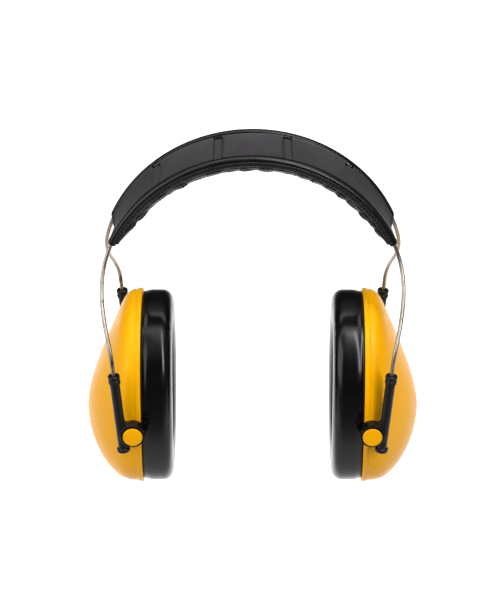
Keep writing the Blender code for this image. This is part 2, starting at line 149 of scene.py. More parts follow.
def plastic(name, colour, roughness, ior, specular, tones, gloss, grains):
    """A plastic with tones (size, colour, colour), gloss (size, low, high, detail) and grains.

    Each grain is (size, depth, detail), the coarsest first.
    """
    material, tree, shader, place = start_material(name, colour, roughness, ior, specular=specular)
    if tones:
        blend_colours(tree, shader, cloud(tree, place, tones[0], 0.0, 1.0), *tones[1:])
    tree.links.new(cloud(tree, place, *gloss), shader.inputs["Roughness"])
    normal = None
    for size, depth, detail in grains:
        normal = grain(tree, place, size, depth, detail, normal)
    tree.links.new(normal, shader.inputs["Normal"])
    print("made", name)
    return material


# %% [markdown]
# ## Yellow ABS, injection moulded
# The cups are ABS from a polished mould. The eye gets a clean saturated yellow with a broad soft
# gloss, a faint orange-peel waviness about 4 mm across where the melt froze, slightly uneven
# pigment, and patches that rubbing has left a little duller.

# %% Yellow ABS
YELLOW_ABS = plastic("moulded_yellow_abs", "#FDB400", 0.3, ior=1.54, specular=0.13,
                     tones=(22, "#FFB700", "#FDB002"), gloss=(8, 0.26, 0.34, 2),
                     grains=[(4.0, 0.012, 0)])

# %% [markdown]
# ## Black nylon, spark-eroded mould
# The yokes carry load and slide on steel, so they are nylon. Their mould is left with a
# spark-eroded texture: a satin black whose highlight is wide and a little grainy. The real grain is
# about 0.1 mm; it is drawn at 0.35 mm so that it shows at this distance.

# %% Black nylon
BLACK_NYLON = plastic("spark_eroded_black_nylon", "#0C0C0D", 0.34, ior=1.53, specular=0.3,
                      tones=(9, "#0A0A0B", "#121213"), gloss=(5, 0.28, 0.42, 4),
                      grains=[(0.35, 0.006, 2)])

# %% [markdown]
# ## Charcoal cover plastic: grained floor, rims with painted shade
# The headband's cover is one moulding. Its recessed floor has a fine leather-like grain, which
# scatters the light and reads as matt charcoal. The rims round the wires are the same plastic left
# plain and glossier; their colour is painted near-black, painted shade for the dark surroundings they
# face, and they show a light line along the top edge.

# %% Cover plastics
CHARCOAL_COVER = plastic("grained_charcoal_cover", "#373537", 0.5, ior=1.5, specular=0.3,
                         tones=(14, "#343234", "#3C3A3C"), gloss=(4, 0.45, 0.55, 3),
                         grains=[(1.1, 0.02, 2), (0.45, 0.012, 2)])
# painted shade: the rims get a near-black copy of the charcoal cover plastic
RIM_BLACK_PAINTED_SHADE = plastic("cover_rim_painted_shade", "#070708", 0.3, ior=1.5, specular=0.4,
                    tones=(11, "#060607", "#0B0A0B"), gloss=(5, 0.25, 0.36, 5),
                    grains=[(0.6, 0.006, 2)])

# %% [markdown]
# ## Soft vinyl of the headband pad
# The pad's skin is soft plasticised PVC, embossed in the mould. It is duller than the cushions,
# with a fine pebbled surface. Its lumps and cross ribs are real shape and come with the mesh.

# %% Pad vinyl
PAD_VINYL = plastic("embossed_soft_vinyl", "#0F0F0F", 0.36, ior=1.53, specular=0.45,
                    tones=(8, "#0E0E0E", "#181817"), gloss=(3, 0.3, 0.42, 3),
                    grains=[(0.5, 0.015, 2)])

# %% [markdown]
# ## Glossy PVC film of the ear cushions
# The cushions are thermoformed PVC film over foam. The film is stretched smooth, so it is deep
# black and glossy, with long soft highlights. Handling leaves it slightly uneven: broad patches
# that are a little duller, shallow waves about 7 mm long, and a very fine grain.

# %% Cushion vinyl
CUSHION_VINYL = plastic("glossy_black_pvc_film", "#050506", 0.2, ior=1.53, specular=0.34,
                        tones=(16, "#050506", "#0A0A0B"), gloss=(9, 0.17, 0.28, 5),
                        grains=[(7.0, 0.03, 2), (0.6, 0.003, 2)])

# %% [markdown]
# ## Black moulded plate, and open-cell foam
# The plate behind each cushion only shows as a dark line, so it is a plain matt black polystyrene.
# The foam is polyurethane with cut cells: soft grey, quite without gloss, with pores about half a
# millimetre wide. The pores are drawn at 0.9 mm so that they show, and are coloured darker towards
# their middles as painted shade in their hollows.

# %% Plate plastic and foam
PLATE_PLASTIC = plastic("moulded_black_polystyrene", "#131314", 0.5, ior=1.59, specular=0.5,
                        tones=None, gloss=(6, 0.45, 0.58, 3), grains=[(0.5, 0.01, 2)])
PORE_WIDTH, PORE_DEPTH = 0.9, 0.25


def open_cell_foam():
    material, tree, shader, place = start_material("open_cell_grey_foam", "#5F5F61", 0.95, ior=1.45)
    cells = {"Vector": place, "Scale": 1 / (PORE_WIDTH * MM), "Randomness": 1.0}
    pores = add_node(tree, "TexVoronoi", cells).outputs["Distance"]
    links = {"Height": pores, "Distance": PORE_DEPTH * MM, "Strength": 1.0}
    bump = add_node(tree, "Bump", links, invert=True)
    tree.links.new(bump.outputs["Normal"], shader.inputs["Normal"])
    # painted shade: the colour darkens towards each pore's middle, for the shade in its hollow
    blend_colours(tree, shader, pores, "#2E2E30", "#78787A")
    return material


FOAM = open_cell_foam()
print("made", FOAM.name)

# %% [markdown]
# ## Drawn spring steel
# The wire is hard-drawn stainless spring wire. Drawing through the die leaves lines along it, so
# the gloss is satin and warm grey, and handling leaves small dark marks, about 7 mm long.
# The lines follow an attribute that the wire's mesh stores: millimetres along it and round it.

# %% Spring steel
LINE_STRETCH, LINE_WIDTH, LINE_DEPTH = 50.0, 1 / 3, 0.02
MARK_LENGTH = 7.0


def drawn_steel():
    material, tree, shader, _ = start_material("drawn_spring_steel", "#B4AFA6", 0.32, metallic=1.0)
    run = add_node(tree, "Attribute", attribute_name="wire_run").outputs["Vector"]
    scale = {"Vector": run, "Scale": (1 / LINE_STRETCH, 1 / LINE_WIDTH, 1.0)}
    stretched = add_node(tree, "Mapping", scale).outputs["Vector"]
    drawn = add_node(tree, "TexNoise", {"Vector": stretched, "Scale": 1.0, "Detail": 4.0})
    lines = drawn.outputs["Fac"]
    furrow = {"Height": lines, "Distance": LINE_DEPTH * MM, "Strength": 1.0}
    tree.links.new(add_node(tree, "Bump", furrow).outputs["Normal"], shader.inputs["Normal"])
    marks = add_node(tree, "TexNoise", {"Vector": run, "Scale": 1 / MARK_LENGTH, "Detail": 3.0})
    dark = {"Value": marks.outputs["Fac"], "From Min": 0.6, "From Max": 0.7, "To Max": 0.75}
    marked = add_node(tree, "MapRange", dark).outputs["Result"]
    blend_colours(tree, shader, marked, "#B2A89B", "#4A443E")
    dull = {"Value": lines, "From Min": 0.3, "From Max": 0.7, "To Min": 0.26, "To Max": 0.42}
    tree.links.new(add_node(tree, "MapRange", dull).outputs["Result"], shader.inputs["Roughness"])
    return material


SPRING_STEEL = drawn_steel()
print("made", SPRING_STEEL.name)

# %% [markdown]
# ## Tools for the meshes
# Most pieces here are lofts: a row of rings with the same number of points, joined by quads. Rings
# are numpy arrays in millimetres, so whole rows of points can be moved at once. A row of rings ends
# in two fans, or runs back to its first ring.

# %% Loft helpers
SHARP_ANGLE = 40.0          # degrees: edges sharper than this are shaded as edges


def quads(count, size, wrap, ring_closed=True):
    """Faces between neighbouring rings, and from the last ring to the first if they wrap."""
    faces = []
    for a in range(count if wrap else count - 1):
        b = (a + 1) % count
        for i in range(size if ring_closed else size - 1):
            j = (i + 1) % size
            faces.append((a * size + i, a * size + j, b * size + j, b * size + i))
    return faces


def loft(name, rings, wrap=False):
    """A closed mesh over an array of rings, (ring, point, xyz) in mm."""
    rings = np.asarray(rings, float)
    count, size = rings.shape[:2]
    verts = (rings.reshape(-1, 3) * MM).tolist()
    faces = quads(count, size, wrap)
    if not wrap:
        for start in (0, (count - 1) * size):
            verts.append((rings[start // size].mean(0) * MM).tolist())
            faces += [(start + (i + 1) % size, start + i, len(verts) - 1) for i in range(size)]
    mesh = bpy.data.meshes.new(name)
    mesh.from_pydata(verts, [], faces)
    return face_out(mesh)


def face_out(mesh):
    bm = bmesh.new()
    bm.from_mesh(mesh)
    bmesh.ops.recalc_face_normals(bm, faces=bm.faces)
    bm.to_mesh(mesh)
    bm.free()
    mesh.shade_smooth()
    mesh.set_sharp_from_angle(angle=math.radians(SHARP_ANGLE))
    return mesh


def arc(centre, radius, start, end, steps):
    """Points of an arc in any plane, from one angle to another in degrees."""
    turns = np.radians(np.linspace(start, end, steps + 1))
    return [(centre[0] + radius * math.cos(t), centre[1] + radius * math.sin(t)) for t in turns]


def corner(x, y, radius, start, end, steps):
    """An arc in place of a sharp corner at (x, y)."""
    middle = math.radians((start + end) / 2)
    centre = x - math.copysign(radius, math.cos(middle)), y - math.copysign(radius, math.sin(middle))
    return arc(centre, radius, start, end, steps)


def turned(profile, axis="Z", centre=(0, 0, 0), steps=64):
    """Rings of (radius, place along the axis) about the Y or the Z axis through a centre."""
    turns = np.linspace(0, 2 * math.pi, steps, endpoint=False)
    rings = []
    for radius, along in profile:
        flat = radius * np.cos(turns), radius * np.sin(turns), np.full(steps, float(along))
        order = (0, 1, 2) if axis == "Z" else (0, 2, 1)
        rings.append(np.stack([flat[i] for i in order], axis=1) + np.array(centre))
    return np.array(rings)


print("a corner of radius 2:", [(round(x, 2), round(y, 2)) for x, y in corner(0, 0, 2, 0, 90, 2)])


# %% [markdown]
# A few pieces are joined and cut with Booleans, which are applied at once by reading the
# evaluated mesh. The last helper puts a finished mesh in the scene: it gets its material, rides on
# its body, and takes the place of the mechanical node.

# %% Boolean and placing helpers
def new_object(name, mesh):
    piece = bpy.data.objects.new(name, mesh)
    bpy.context.scene.collection.objects.link(piece)
    return piece


def apply_modifiers(piece):
    graph = bpy.context.evaluated_depsgraph_get()
    piece.data = bpy.data.meshes.new_from_object(piece.evaluated_get(graph))
    piece.modifiers.clear()
    return piece.data


def combine(mesh, *steps):
    """Join or cut a mesh in turn with others: each step is ("UNION" or "DIFFERENCE", mesh)."""
    piece = new_object("combined", mesh)
    guides = []
    for operation, other in steps:
        guides.append(new_object("guide", other))
        modifier = piece.modifiers.new(operation, "BOOLEAN")
        modifier.operation = operation
        modifier.object = guides[-1]
    result = apply_modifiers(piece)
    for used in [piece] + guides:
        bpy.data.objects.remove(used)
    return result


def place_piece(name, mesh, materials, body, slot, *nodes):
    """Show a mesh, already in its place, as a piece that rides on a body instead of some nodes."""
    for material in materials if isinstance(materials, tuple) else (materials,):
        mesh.materials.append(material)
    mesh.shade_smooth()
    mesh.set_sharp_from_angle(angle=math.radians(SHARP_ANGLE))
    piece = new_object(name, mesh)
    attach(piece, body)
    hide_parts(*nodes)
    print(name, "has", len(mesh.polygons), "faces")
    return piece


print("edges over", SHARP_ANGLE, "degrees stay sharp")


# %% [markdown]
# ## The cup's outline
# Seen from the side a cup is a squared ellipse. Every ring of the shell, liner, plate and cushion
# is this outline in a plane at some x, moved inwards and, over the dome, scaled down and lowered.
# The sizes are the mechanical model's own; two of them are printed from the frame's box.

# %% Cup outline and dome
CUP_HEIGHT, CUP_DEPTH = 97.0, 78.0
OVAL_POWER = 2.3            # 2 is an ellipse, more is squarer
OVAL_POINTS = 176
RIM_X = 54.3
RIM_PROUD, RIM_WIDTH = 0.6, 2.3
SIDE_WIDTH = 7.7            # from the rim's edge to where the dome starts
DOME_HEIGHT, DOME_DROP = 20.5, 12.0
DOME_POWER, DROP_POWER = 1.8, 3.3
CUP_WALL = 2.3
GAP = 0.3


def oval(x, inset, scale=1.0, drop=0.0, points=OVAL_POINTS):
    """The cup's outline in the plane at x, moved inwards, scaled and lowered."""
    turns = np.linspace(0, 2 * math.pi, points, endpoint=False)
    up, across = np.cos(turns), np.sin(turns)
    up = np.sign(up) * np.abs(up) ** (2 / OVAL_POWER)
    across = np.sign(across) * np.abs(across) ** (2 / OVAL_POWER)
    y = (CUP_DEPTH / 2 - inset) * scale * across
    z = (CUP_HEIGHT / 2 - inset) * scale * up - drop
    return np.stack([np.full(points, float(x)), y, z], axis=1)


def dome_ring(inset, scale):
    """The dome at one share of its outline's size, moved inwards by an even thickness."""
    slope = DOME_POWER * DOME_HEIGHT / (CUP_HEIGHT / 2)
    back = inset * (math.hypot(1, slope) - slope)
    height = DOME_HEIGHT - inset + back
    x = RIM_X + SIDE_WIDTH - back + height * (1 - scale ** DOME_POWER)
    return oval(x, inset, scale, DOME_DROP * (1 - scale ** DROP_POWER))


def dome(inset, first=1.0, steps=44):
    """Dome rings from one share of the outline down to the top, evenly spread round the curve."""
    shares = first * np.cos(np.linspace(0, math.pi / 2, steps + 1)[:-1]) + 0.02
    return [dome_ring(inset, min(share, first)) for share in shares]


rim_low, rim_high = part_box("left_cup_shell")
print("rim in mm:", round(-rim_high.x / MM, 2), "height:", round((rim_high.z - rim_low.z) / MM, 2))

# %% [markdown]
# ## Cup shell
# The shell is one injection moulding: a rolled lip where the cushion snaps in, a short side wall,
# a rounded shoulder and the dome, which sags a little below the middle. The lip's section is made
# of arcs. The shoulder is a Bezier between three rings, point by point, so its radius stays even
# all round. The two hinge studs are turned shapes, joined on with a Boolean.

# %% Cup shell
LIP_ROUND, LIP_FILLET = 0.5, 0.9
SHOULDER = 4.0              # reach of the rounded shoulder along the side wall
SHOULDER_SHARE = 0.9        # share of the outline where the shoulder has become dome
PIVOT_X, STUD_HEIGHT = 58.0, -2.0
STUD_NECK, STUD_DISC = 3.0, 4.7
STUD_DISC_Y, STUD_END = 46.4, 47.3
STUD_ROOT_Y, ROOT_END_Y, ROOT_FLARE = 37.4, 39.0, 0.5


def lip_rings():
    """From the inner edge of the lip over its face and its outer side to the side wall."""
    section = corner(RIM_X, CUP_WALL, LIP_ROUND, 90, 180, 5)
    section += corner(RIM_X, -RIM_PROUD, LIP_ROUND, 180, 270, 5)
    section += corner(RIM_X + RIM_WIDTH, -RIM_PROUD, LIP_ROUND, 270, 340, 5)
    section += arc((RIM_X + RIM_WIDTH + LIP_FILLET, -LIP_FILLET), LIP_FILLET, 140, 90, 5)
    return [oval(x, inset) for x, inset in section]


def shoulder_rings(steps=12):
    wall, edge = oval(RIM_X + SIDE_WIDTH - SHOULDER, 0), oval(RIM_X + SIDE_WIDTH, 0)
    end = dome_ring(0, SHOULDER_SHARE)
    shares = [step / steps for step in range(steps)]
    return [(1 - t) ** 2 * wall + 2 * t * (1 - t) * edge + t * t * end for t in shares]


def stud_mesh(end):
    """One stud: a neck that widens at its root, and a disc with a softened edge."""
    profile = [(STUD_NECK + ROOT_FLARE, STUD_ROOT_Y), (STUD_NECK + ROOT_FLARE, ROOT_END_Y)]
    for t in (0.25, 0.5, 0.75, 1.0):
        profile.append((STUD_NECK + ROOT_FLARE * (1 - t) ** 2, ROOT_END_Y + 1.2 * t))
    profile += [(STUD_NECK, STUD_DISC_Y - 0.15), (STUD_NECK + 0.15, STUD_DISC_Y)]
    profile += corner(STUD_DISC, STUD_DISC_Y, 0.2, -90, 0, 3)
    profile += corner(STUD_DISC, STUD_END, 0.35, 0, 90, 5)
    placed = [(radius, end * along) for radius, along in profile]
    return loft("stud", turned(placed, "Y", (PIVOT_X, 0, STUD_HEIGHT)))


def cup_shell_mesh():
    outside = lip_rings() + shoulder_rings() + dome(0, SHOULDER_SHARE)
    inside = [oval(RIM_X + LIP_ROUND + 0.1, CUP_WALL)] + dome(CUP_WALL)
    shell = loft("cup_shell", outside[::-1] + inside)
    return combine(shell, ("UNION", stud_mesh(-1)), ("UNION", stud_mesh(1)))


def on_side(mesh, side):
    """A copy of a mesh that was made for +X: mirrored if the side is -1."""
    copy = mesh.copy()
    if side < 0:
        copy.transform(Matrix.Scale(-1, 4, (1, 0, 0)))
        copy.flip_normals()
    return copy


SIDES = ((-1, "left"), (1, "right"))
shell_mesh = cup_shell_mesh()
for side, word in SIDES:
    place_piece(word + "_cup_shell_skin", on_side(shell_mesh, side), YELLOW_ABS,
                word + "_cup", "yellow_abs", word + "_cup_shell")

# %% [markdown]
# ## Liner and plate
# The liner is a sheet of open-cell foam pressed into the cup: it follows the dome at an even
# thickness, and its cut surface is a little uneven, which comes from moving each point by a soft
# noise. The plate is a flat moulded ring with a snap wall that goes inside the lip.

# %% Foam liner and cushion plate
LINER_THICKNESS = 6.0
LINER_LIP_X = 57.9
PLATE_X, PLATE_THICKNESS, PLATE_INSET = 52.6, 1.3, 1.7
PLATE_SNAP_DEPTH, PLATE_SNAP_WALL = 3.6, 1.5
PLATE_HOLE = 17.4
PLATE_ROUND = 0.3


def roughen(mesh, size, depth):
    """Move each point along its normal by a soft noise, sizes in mm."""
    normals = [vertex.normal.copy() for vertex in mesh.vertices]
    for vertex, normal in zip(mesh.vertices, normals):
        vertex.co += normal * noise.noise(vertex.co / (size * MM)) * depth * MM
    mesh.update()
    return mesh


def liner_mesh():
    outer, inner = CUP_WALL + GAP, CUP_WALL + GAP + LINER_THICKNESS
    outside = [oval(LINER_LIP_X, outer + 0.5), oval(LINER_LIP_X + 0.15, outer + 0.15)]
    outside += [oval(LINER_LIP_X + 0.6, outer)] + dome(outer + 0.1, steps=30)
    inside = [oval(LINER_LIP_X + 0.15, inner - 0.2), oval(LINER_LIP_X, inner - 0.6)]
    hollow = [ring for ring in dome(inner, steps=30) if ring[0][0] > LINER_LIP_X + 0.5]
    return roughen(loft("liner", outside[::-1] + inside[::-1] + hollow), size=5, depth=0.15)


def plate_mesh():
    front, back = PLATE_X, PLATE_X + PLATE_THICKNESS
    snap, inner = CUP_WALL + GAP, CUP_WALL + GAP + PLATE_SNAP_WALL
    end, soft = back + PLATE_SNAP_DEPTH, PLATE_ROUND
    section = corner(front, PLATE_INSET, soft, 180, 270, 3)
    section += corner(back, PLATE_INSET, soft, 270, 360, 3) + [(back, snap)]
    section += corner(end, snap, soft, 270, 360, 3)
    section += corner(end, inner, soft, 0, 90, 3) + [(back, inner)]
    section += corner(back, PLATE_HOLE, soft, 0, 90, 3) + corner(front, PLATE_HOLE, soft, 90, 180, 3)
    return loft("plate", [oval(x, inset) for x, inset in section], wrap=True)


liner, plate = liner_mesh(), plate_mesh()
for side, word in SIDES:
    body = word + "_cup"
    foam = place_piece(word + "_liner_foam", on_side(liner, side), FOAM, body, "foam",
                       word + "_foam_liner")
    place_piece(word + "_plate", on_side(plate, side), PLATE_PLASTIC, body, "plate_plastic",
                word + "_cushion_plate")

# %% [markdown]
# ## Blowing up a soft skin
# A padded skin is stretched over foam that pushes it out between the edges that hold it. Cloth
# with pressure does the same. The skin starts as a coarse grid, a little too flat, with its edges
# pinned, and each point may move only so far. It is simulated five times too large, because Cloth
# is made for things of garment size, and then refined with a smooth curve through its rows.

# %% Cloth and refining
CLOTH_SCALE = 5.0
CLOTH_FRAMES = 18


def blow_up(grid, held, pressure, most, ring_closed=True):
    """Simulate a grid as cloth and return it moved. held marks the pinned points.

    Pressure pushes to the side that the faces look to, or to the other side if it is negative.
    """
    mesh = bpy.data.meshes.new("sheet")
    points = (grid.reshape(-1, 3) * CLOTH_SCALE * MM).tolist()
    mesh.from_pydata(points, [], quads(*grid.shape[:2], False, ring_closed))
    sheet = new_object("sheet", mesh)
    pins = sheet.vertex_groups.new(name="pins")
    pins.add([int(i) for i in np.flatnonzero(held.ravel())], 1.0, "REPLACE")
    cloth = sheet.modifiers.new("Cloth", "CLOTH")
    settings = cloth.settings
    settings.quality = 6
    settings.mass = 0.15
    settings.tension_stiffness = settings.compression_stiffness = 20
    settings.bending_stiffness = 0.5
    settings.vertex_group_mass = "pins"
    settings.use_pressure = True
    settings.uniform_pressure_force = pressure
    settings.effector_weights.gravity = 0
    for step in range(1, CLOTH_FRAMES + 1):
        bpy.context.scene.frame_set(step)
    graph = bpy.context.evaluated_depsgraph_get()
    moved = np.array([v.co for v in sheet.evaluated_get(graph).data.vertices]) / (MM * CLOTH_SCALE)
    bpy.data.objects.remove(sheet)
    bpy.context.scene.frame_set(1)
    shift = moved.reshape(grid.shape) - grid
    length = np.linalg.norm(shift, axis=2, keepdims=True)
    print("cloth moved up to", round(float(length.max()), 2), "mm, capped at", most)
    return grid + shift * np.minimum(1.0, most / np.maximum(length, 1e-9))


def refine(grid, factor, axis, closed):
    """Put more points along one axis of a grid, on Catmull-Rom curves through those it has."""
    grid = np.moveaxis(grid, axis, 0)
    count = len(grid)
    spans = count if closed else count - 1
    at = np.arange(spans * factor + (0 if closed else 1)) / factor
    start = np.minimum(at.astype(int), spans - 1)
    t = (at - start).reshape(-1, *([1] * (grid.ndim - 1)))
    near = [start + step for step in (-1, 0, 1, 2)]
    near = [i % count if closed else np.clip(i, 0, count - 1) for i in near]
    p0, p1, p2, p3 = (grid[i] for i in near)
    curve = 2 * p1 + (p2 - p0) * t + (2 * p0 - 5 * p1 + 4 * p2 - p3) * t ** 2
    curve += (3 * p1 - p0 - 3 * p2 + p3) * t ** 3
    return np.moveaxis(curve / 2, 0, axis)


def grid_normals(grid, ring_closed):
    """Unit normals of a grid, on the side that its faces look to."""
    if ring_closed:
        along = np.roll(grid, -1, axis=1) - np.roll(grid, 1, axis=1)
    else:
        along = np.gradient(grid, axis=1)
    normals = np.cross(along, np.gradient(grid, axis=0))
    return normals / np.maximum(np.linalg.norm(normals, axis=2, keepdims=True), 1e-12)


print("cloth runs for", CLOTH_FRAMES, "frames at", CLOTH_SCALE, "times the size")


# %% [markdown]
# ## Ear cushion
# A cushion is a ring of foam under a thin film, welded to the plate at its two back edges. Its
# section is crowned on all sides, which makes one long soft highlight on the flank. It runs from
# the neck behind the shell, round the flank, over the face that meets the head, and down into the
# hole for the ear. Faint folds run towards the hole, where the same film fits a shorter oval.

# %% Cushion film
FACE_X, CUSHION_BACK = 39.0, 52.3
CUSHION_OUTER, CUSHION_INNER = -0.2, 18.3
FILM = 0.5
CUSHION_CORNER = 5.2
FOLDS = 38
NECK_DEPTH = 0.75            # the film wraps the plate's edge in a shallow neck
CUSHION_SLACK = 0.45        # how much flatter the film starts than it ends


def cushion_section():
    """(x, inset) from the outer back edge, over the face, to the inner back edge."""
    outer, inner = CUSHION_OUTER + CUSHION_SLACK, CUSHION_INNER - CUSHION_SLACK
    face, radius = FACE_X + CUSHION_SLACK, CUSHION_CORNER
    neck = outer + NECK_DEPTH
    section = [(RIM_X - 0.4, neck + 0.15), (RIM_X - 0.7, neck - 0.1), (RIM_X - 1.4, neck - 0.15)]
    section += [(CUSHION_BACK, neck - 0.25), (CUSHION_BACK - 0.8, outer + 0.25)]
    section += [(CUSHION_BACK - 1.8, outer + 0.08), (CUSHION_BACK - 3.4, outer)]
    section += corner(face, outer, radius, -90, -180, 6)
    section += [(face, outer + radius + 3.0 * i) for i in (1, 2)]
    section += corner(face, inner, radius, 180, 90, 6)
    section += arc((CUSHION_BACK - 2.5, inner - 2.0), 2.0, 90, 50, 2)
    return section + [(CUSHION_BACK, inner - 1.6)]


def cushion_film(seed):
    grid = np.array([oval(x, inset, points=88) for x, inset in cushion_section()])
    held = np.zeros(grid.shape[:2], bool)
    held[:4] = held[-2:] = True
    grid = blow_up(grid, held, pressure=5.0, most=CUSHION_SLACK + 0.25)
    grid = refine(refine(grid, 3, 0, False), 3, 1, True)
    out = grid_normals(grid, True)
    rows, size = grid.shape[:2]
    share = np.linspace(0, 1, rows)[:, None]
    turns = np.linspace(0, 2 * math.pi, size, endpoint=False)[None, :]
    drift = np.array([noise.noise(Vector((3 * math.cos(t), 3 * math.sin(t), seed))) for t in turns[0]])
    folds = 0.07 * np.sin(FOLDS * turns + 9 * drift[None, :]) * np.clip((share - 0.62) / 0.25, 0, 1)
    folds = folds * np.clip((1.0 - share) / 0.08, 0, 1)
    grid = grid + out * folds[..., None]
    inside = grid - out * FILM
    return loft("cushion_film", np.concatenate([grid, inside[::-1]]), wrap=True)


print("the cushion's section starts from", len(cushion_section()), "points")


# %% [markdown]
# The foam inside never shows from outside, but it is what holds the film out. It is the film's own
# section moved inwards, so the two always fit.

# %% Make the cushions
def cushion_foam_mesh():
    lining = FILM + GAP + CUSHION_SLACK
    outer, inner = CUSHION_OUTER + lining + 0.4, CUSHION_INNER - lining - 0.4
    face, radius = FACE_X + lining, CUSHION_CORNER - lining
    section = arc((CUSHION_BACK - 1.2, outer + 2.4), 1.2, 0, -90, 3)
    section += corner(face, outer, radius, -90, -180, 6)
    section += corner(face, inner, radius, 180, 90, 6)
    section += arc((CUSHION_BACK - 1.2, inner - 2.4), 1.2, 90, 0, 3)
    foam = loft("cushion_foam", [oval(x, inset, points=96) for x, inset in section], wrap=True)
    return roughen(foam, size=4, depth=0.1)


foam_ring = cushion_foam_mesh()
for side, word in SIDES:
    body = word + "_cup"
    film = on_side(cushion_film(seed=2.0 + side), side)
    cushion = place_piece(word + "_cushion_film", film, CUSHION_VINYL, body, "cushion_vinyl",
                          word + "_cushion_cover")
    filling = place_piece(word + "_cushion_filling", on_side(foam_ring, side), FOAM, body, "foam",
                          word + "_cushion_foam")

# %% [markdown]
# ## Yokes
# A yoke is one nylon moulding: a tube that slides on the wire, a foot, and an open ring that clips
# round the stud, with a fillet between them. A moulding has no sharp edge, so after the Booleans it
# is remeshed in small voxels and smoothed, which rounds every edge and inside corner by about a
# quarter millimetre. It is made once, standing on its own axis, then set in its four places.

# %% Yoke sizes and places
YOKE_TILT = 5.2
YOKE_Y = 43.4
PIVOT_TO_TUBE = 5.5
TUBE_BORE, TUBE_RADIUS = 1.6, 2.4
TUBE_TOP, TUBE_BOTTOM, BORE_BOTTOM = 28.5, -9.4, -7.4
RING_BORE, RING_RADIUS, RING_DEPTH = 3.3, 6.1, 5.4
RING_OPENING, RING_OPENING_ANGLE = 2.4, 15.0
FOOT_RADIUS, FOOT_HEIGHT = 3.2, 2.2
WEB_HEIGHT, WEB_DEPTH, WEB_RADIUS = 9.5, 3.8, 4.1
VOXEL = 0.2


def yoke_place(side, end):
    """The matrix that stands a left-hand yoke on its tube's axis, level with the pivot."""
    tilt = math.radians(YOKE_TILT)
    x = PIVOT_X + PIVOT_TO_TUBE * math.cos(tilt)
    z = STUD_HEIGHT - PIVOT_TO_TUBE * math.sin(tilt)
    place = Vector((side * x, end * YOKE_Y, z)) * MM
    return Matrix.Translation(place) @ Matrix.Rotation(side * tilt, 4, "Y")


def prism(outline, half_depth):
    """A prism along Y over an (x, z) outline in mm, which may be hollow on one side."""
    size = len(outline)
    verts = [(x * MM, y * MM, z * MM) for y in (-half_depth, half_depth) for x, z in outline]
    faces = [tuple(range(size)), tuple(range(2 * size - 1, size - 1, -1))]
    faces += [(i, (i + 1) % size, (i + 1) % size + size, i + size) for i in range(size)]
    mesh = bpy.data.meshes.new("prism")
    mesh.from_pydata(verts, [], faces)
    return face_out(mesh)


for side, word in SIDES:
    print(word, "yokes stand at x", round(yoke_place(side, 1).translation.x / MM, 1), "mm")


# %% Yoke mesh
def yoke_mesh():
    """The left-hand yoke, whose ring lies on the +X side of its tube."""
    pivot = (PIVOT_TO_TUBE, 0, 0)
    foot = corner(FOOT_RADIUS, TUBE_BOTTOM, 0.8, -90, 0, 6)
    foot += corner(FOOT_RADIUS, TUBE_BOTTOM + FOOT_HEIGHT, 0.4, 0, 90, 4)
    tube = turned(foot + [(TUBE_RADIUS, TUBE_BOTTOM + FOOT_HEIGHT + 0.1), (TUBE_RADIUS, TUBE_TOP)])
    half = RING_DEPTH / 2
    ring = loft("ring", turned([(RING_RADIUS, -half), (RING_RADIUS, half)], "Y", pivot, 96))
    bend = arc((PIVOT_TO_TUBE, WEB_HEIGHT), WEB_RADIUS, 196, 270, 10)
    bend += [(PIVOT_TO_TUBE, RING_BORE + 1.25), (0, RING_BORE / 2), (0, WEB_HEIGHT)]
    web = prism(bend, WEB_DEPTH / 2)
    stud = loft("bore", turned([(RING_BORE, -9), (RING_BORE, 9)], "Y", pivot, 96))
    wire = loft("bore", turned([(TUBE_BORE, BORE_BOTTOM), (TUBE_BORE, TUBE_TOP + 1)]))
    near, far, gap = RING_BORE - 1.0, RING_RADIUS + 0.7, RING_OPENING / 2
    slot = prism([(near, -gap), (far, -gap), (far, gap), (near, gap)], RING_DEPTH)
    turn = Matrix.Rotation(-math.radians(RING_OPENING_ANGLE), 4, "Y")
    slot.transform(Matrix.Translation(Vector(pivot) * MM) @ turn)
    solid = combine(loft("tube", tube), ("UNION", ring), ("UNION", web),
                    ("DIFFERENCE", stud), ("DIFFERENCE", wire), ("DIFFERENCE", slot))
    return soften(solid)


def soften(mesh):
    """Remesh in small voxels and smooth: every edge gets a moulded radius."""
    piece = new_object("softened", mesh)
    remesh = piece.modifiers.new("remesh", "REMESH")
    remesh.mode = "VOXEL"
    remesh.voxel_size = VOXEL * MM
    smooth = piece.modifiers.new("smooth", "SMOOTH")
    smooth.iterations = 4
    smooth.factor = 0.5
    result = apply_modifiers(piece)
    bpy.data.objects.remove(piece)
    return result


yoke = yoke_mesh()
print("yoke has", len(yoke.polygons), "faces")

# %% [markdown]
# ## Collars
# The collar is a bush pressed on the tube's mouth, with two rounded rings and a groove between
# them. It is turned from arcs: the rounded rings catch two thin lines of light.

# %% Collars and placing the yokes
COLLAR_BOTTOM, COLLAR_TOP = 28.8, 33.4
COLLAR_RADIUS, COLLAR_GROOVE, WIRE_BORE = 2.9, 0.45, 1.3


def collar_mesh():
    middle, soft = (COLLAR_BOTTOM + COLLAR_TOP) / 2, 0.55
    lower = corner(WIRE_BORE, COLLAR_BOTTOM, 0.25, 180, 270, 3)
    lower += corner(COLLAR_RADIUS, COLLAR_BOTTOM, soft, -90, 0, 6)
    lower += corner(COLLAR_RADIUS, middle - 0.2, soft, 0, 70, 5)
    lower += [(COLLAR_RADIUS - COLLAR_GROOVE, middle - 0.1)]
    upper = [(radius, 2 * middle - along) for radius, along in lower[::-1]]
    return loft("collar", turned(lower + upper), wrap=True)


collar = collar_mesh()
for side, word in SIDES:
    for end, part in ((-1, "front"), (1, "rear")):
        body = f"{word}_{part}_yoke"
        for kind, mesh in (("slider", yoke), ("slider_collar", collar)):
            made = on_side(mesh, -side)     # the yoke was made for the left
            made.transform(yoke_place(side, end))
            place_piece(f"{word}_{part}_{kind}_skin", made, BLACK_NYLON, body, "yoke_nylon",
                        f"{word}_{part}_{kind}")

